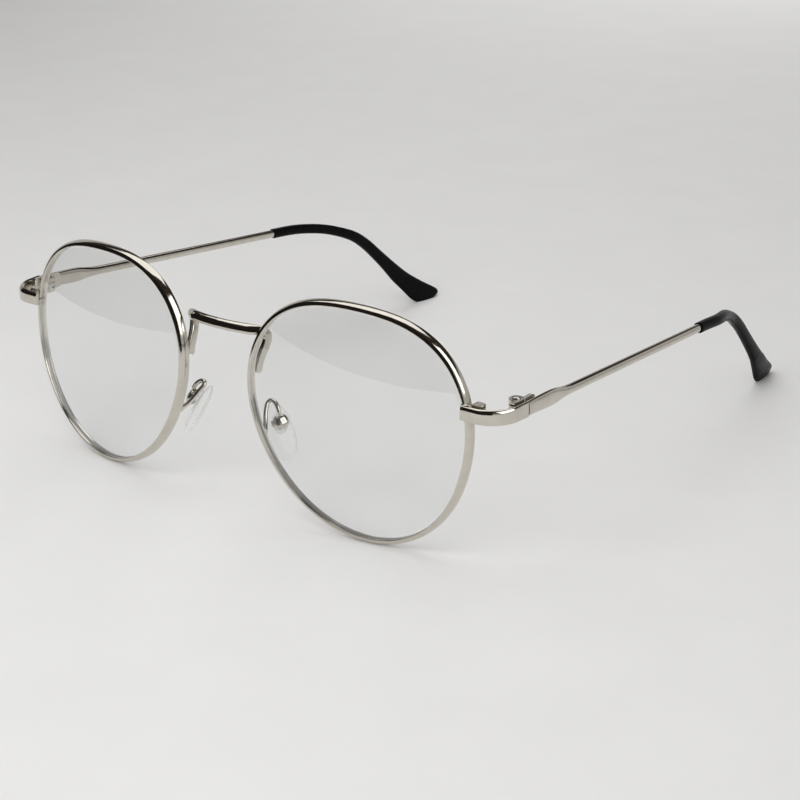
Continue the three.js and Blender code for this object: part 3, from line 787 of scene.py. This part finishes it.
def paint_lens_edge(piece):
    """Gives the ground edge of a lens its own material: everything outside the polished faces."""
    piece.data.materials.append(LENS_EDGE)
    faces_inside = (len(LENS_SHARES) - 1) * LENS_STEPS
    edge_bands = 7  # between the two faces' last rings, with six rings in the bevel
    edge_faces = edge_bands * LENS_STEPS
    for face in piece.data.polygons[faces_inside : faces_inside + edge_faces]:
        face.material_index = 1


# ---- bridge and solder


def bridge_shape():
    half = curve_through(BRIDGE_LINE)
    line = [Vector((-p.x, p.y, p.z)) for p in reversed(half[1:])] + half

    def leg_share(share):
        return smoothstep(abs(2 * share - 1), *BRIDGE_BEND)

    def up_at(share):
        leg = leg_share(share)
        return (math.copysign(leg, share - 0.5), BRIDGE_BAR["lean"] * (1 - leg), 1 - leg)

    def section_at(share):
        leg = leg_share(share)
        sizes = ("depth", "height", "power")
        depth, height, power = (lerp(BRIDGE_BAR[k], BRIDGE_LEG[k], leg) for k in sizes)
        return superellipse(depth / 2, height / 2, power)

    return swept(line, section_at, up_at, 170, 0.5)


def solder_shape(centre, along, size, seed):
    """A lumpy bead of solder: an oval blob stretched along a direction."""
    steps = 20
    turn = Vector((0, 0, 1)).rotation_difference(Vector(along).normalized()).to_matrix()
    rings = []
    for i in range(1, steps):
        polar = math.pi * i / steps
        ring = []
        for j in range(steps):
            around = 2 * math.pi * j / steps
            level = math.sin(polar)
            ball = Vector((level * math.cos(around), level * math.sin(around), math.cos(polar)))
            lump = 1 + 0.22 * noise.noise(ball * 2.2 + Vector((seed, 0, 0)))
            point = Vector((ball.x * size[0], ball.y * size[0], ball.z * size[1])) * lump
            ring.append(Vector(centre) + turn @ point)
        rings.append(ring)
    return skin(rings)


# ---- endpiece and rim closing


def strap_path():
    """Along the strap's outer face: place, outward normal, share of the way and end inset."""
    centre_x = JOINT_X - STRAP_FLARE - STRAP_CORNER_RADIUS
    centre_y = STRAP_FRONT_Y + STRAP_CORNER_RADIUS
    straight = centre_x - STRAP_FRONT_X
    arc = math.pi / 2 * STRAP_CORNER_RADIUS
    side = JOINT_Y - JOINT_GAP / 2 - centre_y
    total = straight + arc + side
    path = []
    for distance in end_spacing(total, 64, STRAP_END_ROUND):
        turn = min(max((distance - straight) / STRAP_CORNER_RADIUS, 0), math.pi / 2)
        normal = Vector((math.sin(turn), -math.cos(turn), 0))
        place = Vector((centre_x, centre_y, HINGE_Z)) + normal * STRAP_CORNER_RADIUS
        place.x -= max(straight - distance, 0)
        past = max(distance - straight - arc, 0)
        place.y += past
        place.x += STRAP_FLARE * past / side
        inset = end_inset(distance, total, STRAP_END_ROUND)
        path.append((place, normal, distance / total, inset))
    return path


def endpiece_shape():
    rings = []
    for place, normal, share, inset in strap_path():
        thick = lerp(*STRAP_THICKNESS, smoothstep(share, 0.15, 0.6))
        high = lerp(*STRAP_HALF_HEIGHT, share)
        narrowing = lerp(1, 0.4, smoothstep(share, 0.55, 0.95))
        round_in, round_down = (value * narrowing for value in STRAP_SHOULDER)
        shoulder = []
        for k in range(11):
            angle = math.pi / 2 * k / 10
            shoulder.append((round_in * (1 - math.cos(angle)), high - round_down * (1 - math.sin(angle))))
        corners = [(thick, high, 0.12), (thick, -high, 0.12), (0, -high, 0.22), (0, 0, 0.01)]
        steps = 5
        back = rounded_polygon(corners, steps)[: 3 * (steps + 1)]  # the shoulder stands for the last corner
        section = [*shoulder, *back]
        rings.append([place - normal * x + Vector((0, 0, y)) for x, y in drawn_in(section, inset)])
    return skin(rings)


def node_box(node):
    """A CAD node's box in millimetres in the glasses' own frame."""
    low, high = (corner / MM - Vector((0, ROW_SHIFT, 0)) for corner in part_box(node))
    return low, high


def block_screw_place(low, high):
    """Where the closing screw stands in a block's box, from above."""
    return (low.x + high.x) / 2, lerp(low.y, high.y, BLOCK["screw_share"])


def closing_block_mesh(level):
    """One half of the block that clamps the rim's two ends, with its outer end rounded."""
    low, high = node_box(f"left_closing_block_{level}")
    corners = [
        (low.x, low.y, 0.15),
        (high.x, low.y, 0.9),
        (high.x, high.y, (high.y - low.y) / 2),
        (low.x, high.y, 0.15),
    ]
    outline = rounded_polygon(corners, 8)
    rings = [[Vector((x, y, z)) for x, y in outline] for z in (low.z, high.z)]
    bore_top = high.z - BLOCK["cover"] if level == "upper" else high.z + OVERRUN
    bore = rod(BLOCK["bore"], low.z - OVERRUN, bore_top)
    bore = moved(bore, Matrix.Translation((*block_screw_place(low, high), 0)))
    return carved(skin(rings), removed=[bore], edge=0.12)


def screw_mesh(shank, head, head_height, length):
    """A slotted screw along +Z, whose domed head stands on z = 0."""
    dome = []
    for k in range(9):
        angle = math.pi / 2 * k / 8
        radius = head * lerp(math.cos(angle), 1, 0.35 * (1 - math.sin(angle)))
        dome.append((min(radius, head), head_height * math.sin(angle)))
    dome[-1] = (0, head_height)
    point = [(0, -length), (shank - 0.08, -length), (shank, -length + 0.1)]
    profile = [*point, (shank, 0), (head, 0), *dome[1:]]
    slot = block(
        (-2 * head, -SCREW_SLOT["width"] / 2, head_height - SCREW_SLOT["depth"]),
        (2 * head, SCREW_SLOT["width"] / 2, head_height + OVERRUN),
    )
    return carved(turned(profile), removed=[slot], edge=0.025, bevel_angle=50)


def transformed(mesh, matrix):
    copy = mesh.copy()
    copy.transform(matrix)
    return copy


# ---- hinge

KNUCKLE_PITCH = KNUCKLE_HEIGHT + KNUCKLE_GAP
HINGE_LOW = HINGE_Z - KNUCKLE_PITCH - KNUCKLE_HEIGHT / 2
HINGE_HIGH = HINGE_Z + KNUCKLE_PITCH + KNUCKLE_HEIGHT / 2
LEAF_OUTER_X = JOINT_X - STRAP_THICKNESS[1] - LEAF["gap"]
HINGE_AXIS = Matrix.Translation((HINGE_X, JOINT_Y, 0))


def knuckle(level, radius=KNUCKLE_RADIUS, spare=0.0, edge=0.08):
    middle = HINGE_Z + level * KNUCKLE_PITCH
    half = KNUCKLE_HEIGHT / 2 + spare
    return moved(rod(radius, middle - half, middle + half, edge), HINGE_AXIS)


def turning_room(level):
    return knuckle(level, KNUCKLE_RADIUS + KNUCKLE_ROOM, KNUCKLE_GAP, 0.0)


def hinge_bore():
    return moved(rod(HINGE_BORE, HINGE_LOW - OVERRUN, HINGE_HIGH + OVERRUN), HINGE_AXIS)


def leaf_plate(start, end, start_round, end_round):
    """A flat plate beside the strap or the temple, with the corners of its ends rounded."""
    corners = [
        (start, HINGE_LOW, start_round),
        (end, HINGE_LOW, end_round),
        (end, HINGE_HIGH, end_round),
        (start, HINGE_HIGH, start_round),
    ]
    outline = rounded_polygon(corners, 8)
    faces = (LEAF_OUTER_X - LEAF["thickness"], LEAF_OUTER_X)
    return skin([[Vector((x, y, z)) for y, z in outline] for x in faces])


def front_leaf_mesh():
    plate = leaf_plate(JOINT_Y - LEAF["front"], JOINT_Y - JOINT_GAP / 2, 0.5, 0.05)
    return carved(plate, [knuckle(1), knuckle(-1)], [turning_room(0), hinge_bore()], 0.06)


def temple_leaf_mesh():
    plate = leaf_plate(JOINT_Y + JOINT_GAP / 2, JOINT_Y + LEAF["temple"], 0.05, 0.9)
    turn = (
        Matrix.Translation((LEAF_OUTER_X, JOINT_Y + LEAF["thickness"] * TEMPLE_INSLOPE, 0))
        @ Matrix.Rotation(math.atan(TEMPLE_INSLOPE), 4, "Z")
        @ Matrix.Translation((-LEAF_OUTER_X, -JOINT_Y, 0))
    )
    removed = [turning_room(1), turning_room(-1), hinge_bore()]
    return carved(moved(plate, turn), [knuckle(0)], removed, 0.06)


# ---- nose pad

PAD_ACROSS = PAD_UP.cross(PAD_FACE).normalized()
PAD_FRAME = Matrix.Translation(PAD_BOX_CENTRE) @ Matrix(
    [(*row, 0) for row in zip(PAD_ACROSS, PAD_UP, PAD_FACE)] + [(0, 0, 0, 1)]
)
ACROSS = Matrix.Rotation(math.pi / 2, 4, "Y")


def across_rod(radius, low, high):
    return moved(rod(radius, low, high), Matrix.Translation((0, 0, PAD_PIN_Z)) @ ACROSS)


def pad_box_mesh():
    """A domed cup with a slot for the pad's lug and a bore for its screw."""
    radius, back, front = PAD_BOX["radius"], PAD_BOX["back"], PAD_BOX["front"]
    profile = [(0, back)]
    for k in range(1, 9):
        angle = math.pi / 2 * k / 8
        profile.append((radius * math.sin(angle), back + PAD_BOX["dome"] * (1 - math.cos(angle))))
    profile += [(radius, front - 0.1), (radius - 0.1, front), (0, front)]
    slot = block(
        (-PAD_BOX["slot"] / 2, -radius - OVERRUN, PAD_BOX["floor"]),
        (PAD_BOX["slot"] / 2, radius + OVERRUN, front + OVERRUN),
    )
    bore = across_rod(PAD_BORE, -radius - OVERRUN, radius + OVERRUN)
    return carved(turned(profile), removed=[slot, bore], edge=0.04)


def pad_core_mesh():
    """The hard plate inside the pad, with the lug that goes into the box."""
    near, far = PAD_CORE["near"], PAD_CORE["far"]
    plate = rod(1, near, far, 0.08)
    plate = moved(plate, Matrix.Diagonal((PAD_CORE["half_width"], PAD_CORE["half_length"], 1, 1)))
    half = PAD_LUG["thickness"] / 2
    lug = across_rod(PAD_LUG["radius"], -half, half)
    neck = block((-half, -PAD_LUG["neck"], PAD_PIN_Z), (half, PAD_LUG["neck"], (near + far) / 2))
    bore = across_rod(PAD_BORE, -2 * OVERRUN, 2 * OVERRUN)
    return carved(plate, [neck, lug], [bore], 0.04)


def nose_pad_mesh():
    """A soft oval pad, fuller at its lower end, with a pocket for its core."""
    steps = 48
    rings = []
    for i in range(1, steps):
        polar = math.pi * i / steps
        along = -math.cos(polar)
        wide = math.sin(polar) ** PAD_SHAPE["fullness"]
        ring = []
        for x, y in superellipse(1, 1, PAD_SHAPE["power"], steps):
            across = PAD["half_width"] * wide * x * (1 - PAD_SHAPE["taper"] * along)
            up = PAD["half_length"] * along - PAD["drop"]
            out = PAD["half_thickness"] * wide * y + PAD["stand"]
            ring.append(Vector((across, up, out)))
        rings.append(ring)
    spare = PAD_CORE["clearance"]
    widen = Matrix.Diagonal((PAD_CORE["half_width"] + spare, PAD_CORE["half_length"] + spare, 1, 1))
    pocket = moved(rod(1, PAD_CORE["far"] + spare - 2, PAD_CORE["far"] + spare), widen)
    return carved(skin(rings), removed=[pocket], edge=0.06, bevel_angle=50)


def pad_arm_shape():
    foot = rim_point(ARM_FOOT_ANGLE, 0.1, RIM_DEPTH / 2 + ARM_RADIUS + ARM_FOOT_GAP)
    end = PAD_FRAME @ Vector((0, PAD_BOX["radius"], PAD_BOX["back"] + ARM_RADIUS))
    line = curve_through([foot, *ARM_LINE, end])
    section = superellipse(ARM_RADIUS, ARM_RADIUS, 2, 20)
    return swept(line, lambda share: section, lambda share: ARM_SIDE, 110, 0.3)


# ---- temple and tip

TEMPLE_NORMAL = Vector((1, TEMPLE_INSLOPE, 0)).normalized()


def temple_point(behind, z):
    """A point of the temple's middle plane, which swings in towards the head behind the tip's start."""
    bend = TIP_BEND["inward"] * smoothstep(behind, TIP_BEND["from"], TIP_BEND["to"])
    foot = TIP_FOOT["lean"] * max(0, TIP_FOOT["below"] - z)
    lean = 0 if behind < TIP_START else bend + TIP_LEAN * max(0, behind - TIP_BEND["to"]) + foot
    x = JOINT_X - STRAP_THICKNESS[1] / 2 - TEMPLE_INSLOPE * behind - lean
    return Vector((x, JOINT_Y + behind, z))


def blade_ring(upper, lower, half_thickness, power, count, inset=0.0):
    """A section between an upper and a lower (behind, z) point of the middle plane."""
    top = temple_point(*upper)
    bottom = temple_point(*lower)
    centre = (top + bottom) / 2
    half_up = (top - bottom).length / 2
    up = (top - bottom).normalized()
    section = drawn_in(superellipse(half_thickness, half_up, power, count), inset)
    return [centre + TEMPLE_NORMAL * x + up * y for x, y in section]


def tip_edges(share):
    """The upper and the lower edge of the tip, which reach no farther back than their rows."""
    reach = max(row[0] for row in TIP_UPPER)
    upper, lower = (spline_row(rows, share) for rows in (TIP_UPPER, TIP_LOWER))
    return Vector((min(upper[0], reach), upper[1])), Vector(lower)


def temple_shape():
    rings = []
    steps = 150
    for i in range(steps + 1):
        behind, half_height, half_thickness, power = spline_row(TEMPLE_STATIONS, i / steps)
        z = HINGE_Z - TEMPLE_DROP * behind
        rings.append(
            blade_ring((behind, z + half_height), (behind, z - half_height), half_thickness, power, 40)
        )
    for i in range(40):
        upper, lower = tip_edges(i / 39 * CORE_END)
        centre = (upper + lower) / 2
        half = (upper - lower).normalized() * CORE_HALF[0]
        rings.append(blade_ring(centre + half, centre - half, CORE_HALF[1], CORE_POWER, 40))
    return skin(rings)


def tip_shape():
    """The moulded tip: a bent paddle with soft ends and a hole for the temple's wire."""
    rings = []
    for distance in end_spacing(TIP_LENGTH, 130, TIP_END_ROUND):
        share = distance / TIP_LENGTH
        upper, lower = tip_edges(share)
        half = spline_row([(v,) for v in TIP_HALF_THICKNESS], share)[0]
        inset = end_inset(distance, TIP_LENGTH, TIP_END_ROUND)
        rings.append(blade_ring(upper, lower, half, TIP_POWER, 48, inset))
    centre = sum(rings[0], Vector()) / len(rings[0])
    mouth = [lerp(p, centre, TIP_MOUTH["share"]) for p in rings[0]]
    sunk = [p + Vector((0, TIP_MOUTH["depth"], 0)) for p in mouth]
    return skin([sunk, mouth, *rings])


# ---- assembly


def half_pieces():
    """Each piece of the left half: name, shape or mesh, material, slot, body and settings."""
    low, high = node_box("left_closing_block_lower")
    blocks_top = node_box("left_closing_block_upper")[1].z
    closing_screw = screw_mesh(*CLOSING_SCREW, blocks_top - low.z - 2 * BLOCK["cover"])
    hinge_screw = screw_mesh(*HINGE_SCREW, HINGE_HIGH - HINGE_LOW)
    pad_screw = screw_mesh(*PAD_SCREW, PAD_SCREW_LENGTH)
    under = Matrix.Translation((*block_screw_place(low, high), low.z - SCREW_SEAT))
    under = under @ Matrix.Rotation(math.pi, 4, "X")
    over = Matrix.Translation((HINGE_X, JOINT_Y, HINGE_HIGH + SCREW_SEAT)) @ Matrix.Rotation(0.6, 4, "Z")
    beside = PAD_FRAME @ Matrix.Translation((PAD_BOX["radius"] + SCREW_SEAT, 0, PAD_PIN_Z)) @ ACROSS
    metal = (METAL, "polished_metal")
    steel = (STEEL, "screw_steel")
    front, temple, pad = "front", "temple_body", "pad_body"
    return [
        ("rim", rim_shape(), *metal, front, {}),
        ("lens", lens_shape(), LENS, "clear_lens", front, {}),
        ("endpiece", endpiece_shape(), *metal, front, {}),
        ("closing_block_upper", closing_block_mesh("upper"), *metal, front, {"weighted": True}),
        ("closing_block_lower", closing_block_mesh("lower"), *metal, front, {"weighted": True}),
        ("closing_screw", transformed(closing_screw, under), *steel, front, {}),
        ("hinge_front_leaf", front_leaf_mesh(), *metal, front, {"weighted": True}),
        ("hinge_temple_leaf", temple_leaf_mesh(), *metal, temple, {"weighted": True}),
        ("hinge_screw", transformed(hinge_screw, over), *steel, front, {}),
        ("pad_arm", pad_arm_shape(), *metal, front, {}),
        ("pad_box", transformed(pad_box_mesh(), PAD_FRAME), *metal, front, {"weighted": True}),
        ("pad_screw", transformed(pad_screw, beside), *steel, front, {}),
        ("pad_core", transformed(pad_core_mesh(), PAD_FRAME), HARD_CLEAR, "clear_pad_core", pad, {}),
        ("nose_pad", transformed(nose_pad_mesh(), PAD_FRAME), SILICONE, "clear_pad", pad, {}),
        ("temple", temple_shape(), *metal, temple, {}),
        ("temple_tip", tip_shape(), BLACK, "black_tip", temple, {}),
    ]


def solder_beads():
    """Where parts are brazed to the rim: name, centre, direction and (radius, half length)."""
    strap_seam = Vector((62.1, 4.75, 0))
    arm_foot = rim_point(ARM_FOOT_ANGLE, 0.05, RIM_DEPTH / 2 + 0.15)
    leg_seam = Vector((9.75, 2.0, 32.4))
    return [
        ("endpiece_solder_top", strap_seam + Vector((0, 0, HINGE_Z + 1.45)), (1, 0.1, 0), (0.33, 1.15)),
        ("endpiece_solder_bottom", strap_seam + Vector((0, 0, HINGE_Z - 1.45)), (1, 0.1, 0), (0.3, 1.1)),
        ("pad_arm_solder", arm_foot, (0, 0, 1), (0.62, 0.85)),
        ("bridge_solder", leg_seam, (0, 0, 1), (0.4, 1.2)),
    ]


def build_glasses():
    add_piece("bridge_bar", bridge_shape(), METAL, "front", ["bridge"], "polished_metal")
    pieces = half_pieces()
    for side, mirror in (("left", 1), ("right", -1)):
        for name, source, material, slot, body, settings in pieces:
            rides_on = body if body == "front" else f"{side}_{body}"
            node = f"{side}_{name}"
            fine = f"{node}_fine"
            piece = add_piece(fine, source, material, rides_on, [node], slot, mirror, **settings)
            if name == "lens":
                paint_lens_edge(piece)
        for seed, (name, centre, along, size) in enumerate(solder_beads()):
            bead = solder_shape(centre, along, size, seed)
            add_piece(f"{side}_{name}", bead, SOLDER, "front", [], "polished_metal", mirror)


# ---- stage, light and camera


def stage_sheet(name, corners, material):
    mesh = bpy.data.meshes.new(name)
    mesh.from_pydata(corners, [], [tuple(range(len(corners)))])
    mesh.materials.append(material)
    sheet = bpy.data.objects.new(name, mesh)
    bpy.context.scene.collection.objects.link(sheet)
    return sheet


def dark_cloth():
    """Near-black cloth with a faint weave."""
    nodes = Nodes("dark_cloth")
    shader = nodes.principled(Roughness=0.9, Specular_IOR_Level=0.1)
    weave = nodes.noise(300, 3)
    nodes.join(nodes.tinted(weave, (0.008, 0.007, 0.006), (0.02, 0.017, 0.014)), shader.inputs["Base Color"])
    return nodes.finish(shader)


def build_stage():
    floor_radius = 4
    sides = 96
    corners = []
    for i in range(sides):
        angle = 2 * math.pi * i / sides
        corners.append((floor_radius * math.cos(angle), floor_radius * math.sin(angle), 0))
    stage_sheet("floor", corners, floor_paint())
    # Dark flags that only polished surfaces see: in reflections the pale sheet ends at these two rows.
    cloth = dark_cloth()
    height = 0.3
    flag_rows = [
        [(0.24, -0.28), (0.1, -0.27), (0, -0.258), (-0.066, -0.271), (-0.14, -0.296), (-0.9, -0.6)],
        [(-0.128, -0.225), (-0.161, -0.17), (-0.203, -0.126), (-0.27, -0.06)],
    ]
    for row in flag_rows:
        for (x0, y0), (x1, y1) in zip(row, row[1:]):
            corners = [(x0, y0, 0), (x1, y1, 0), (x1, y1, height), (x0, y0, height)]
            flag = stage_sheet("dark_flag", corners, cloth)
            for kind in ("camera", "diffuse", "shadow", "transmission"):
                setattr(flag, f"visible_{kind}", False)


def area_light(name, place, target, size, power, seen_in_gloss=True):
    data = bpy.data.lights.new(name, "AREA")
    data.shape = "RECTANGLE"
    data.size, data.size_y = size
    data.energy = power
    light = bpy.data.objects.new(name, data)
    light.location = place
    light.rotation_euler = (Vector(target) - Vector(place)).to_track_quat("-Z", "Y").to_euler()
    light.visible_camera = False
    light.visible_glossy = seen_in_gloss
    bpy.context.scene.collection.objects.link(light)
    return light


def build_world():
    """Pale up to a low horizon and dark above, so that polished metal shows bright and black bands."""
    world = bpy.data.worlds.new("studio")
    bpy.context.scene.world = world
    world.use_nodes = True
    tree = world.node_tree
    background = tree.nodes["Background"]
    place = tree.nodes.new("ShaderNodeTexCoord")
    split = tree.nodes.new("ShaderNodeSeparateXYZ")
    ramp = tree.nodes.new("ShaderNodeValToRGB")
    tree.links.new(place.outputs["Generated"], split.inputs["Vector"])
    tree.links.new(split.outputs["Z"], ramp.inputs["Fac"])
    tree.links.new(ramp.outputs["Color"], background.inputs["Color"])
    set_ramp(ramp, (0.35, (0.5, 0.5, 0.49)), (0.42, (0.03, 0.023, 0.017)))


def build_lights():
    middle = (0.0, -0.03, 0.02)
    area_light("overhead_softbox", (-0.2, 0.1, 0.6), middle, (0.75, 0.5), 1.55)
    side_card = area_light("side_card", (0.58, -0.03, 0.44), middle, (0.6, 0.62), 2.5)
    side_card.visible_diffuse = False
    area_light("front_fill", (0.12, -0.62, 0.45), middle, (0.8, 0.8), 4.9, seen_in_gloss=False)
    area_light("low_fill", (0.05, -0.12, 0.3), (0.03, -0.08, 0), (0.3, 0.3), 0.17, seen_in_gloss=False)
    area_light("back_wash", (-0.4, 0.85, 0.33), (-0.35, 0.65, 0), (0.5, 0.5), 2.4, seen_in_gloss=False)


def build_camera():
    azimuth, elevation, roll = math.radians(39.0975), math.radians(20.5548), math.radians(-0.8167)
    distance = 0.470056
    target = Vector((0.024328, -0.039582, 0.01973))
    level = math.cos(elevation)
    back = Vector((level * math.sin(azimuth), -level * math.cos(azimuth), math.sin(elevation)))
    right = Vector((math.cos(azimuth), math.sin(azimuth), 0))
    up = back.cross(right)
    rolled_right = math.cos(roll) * right + math.sin(roll) * up
    rolled_up = back.cross(rolled_right)
    turn = Matrix((rolled_right, rolled_up, back)).transposed().to_4x4()
    data = bpy.data.cameras.new("camera")
    data.lens = 97.09
    data.sensor_width = 36
    camera = bpy.data.objects.new("camera", data)
    camera.matrix_world = Matrix.Translation(target + back * distance) @ turn
    bpy.context.scene.collection.objects.link(camera)
    bpy.context.scene.camera = camera


bpy.context.scene.view_settings.view_transform = "Standard"
build_glasses()
build_stage()
build_world()
build_lights()
build_camera()

bpy.context.view_layer.update()
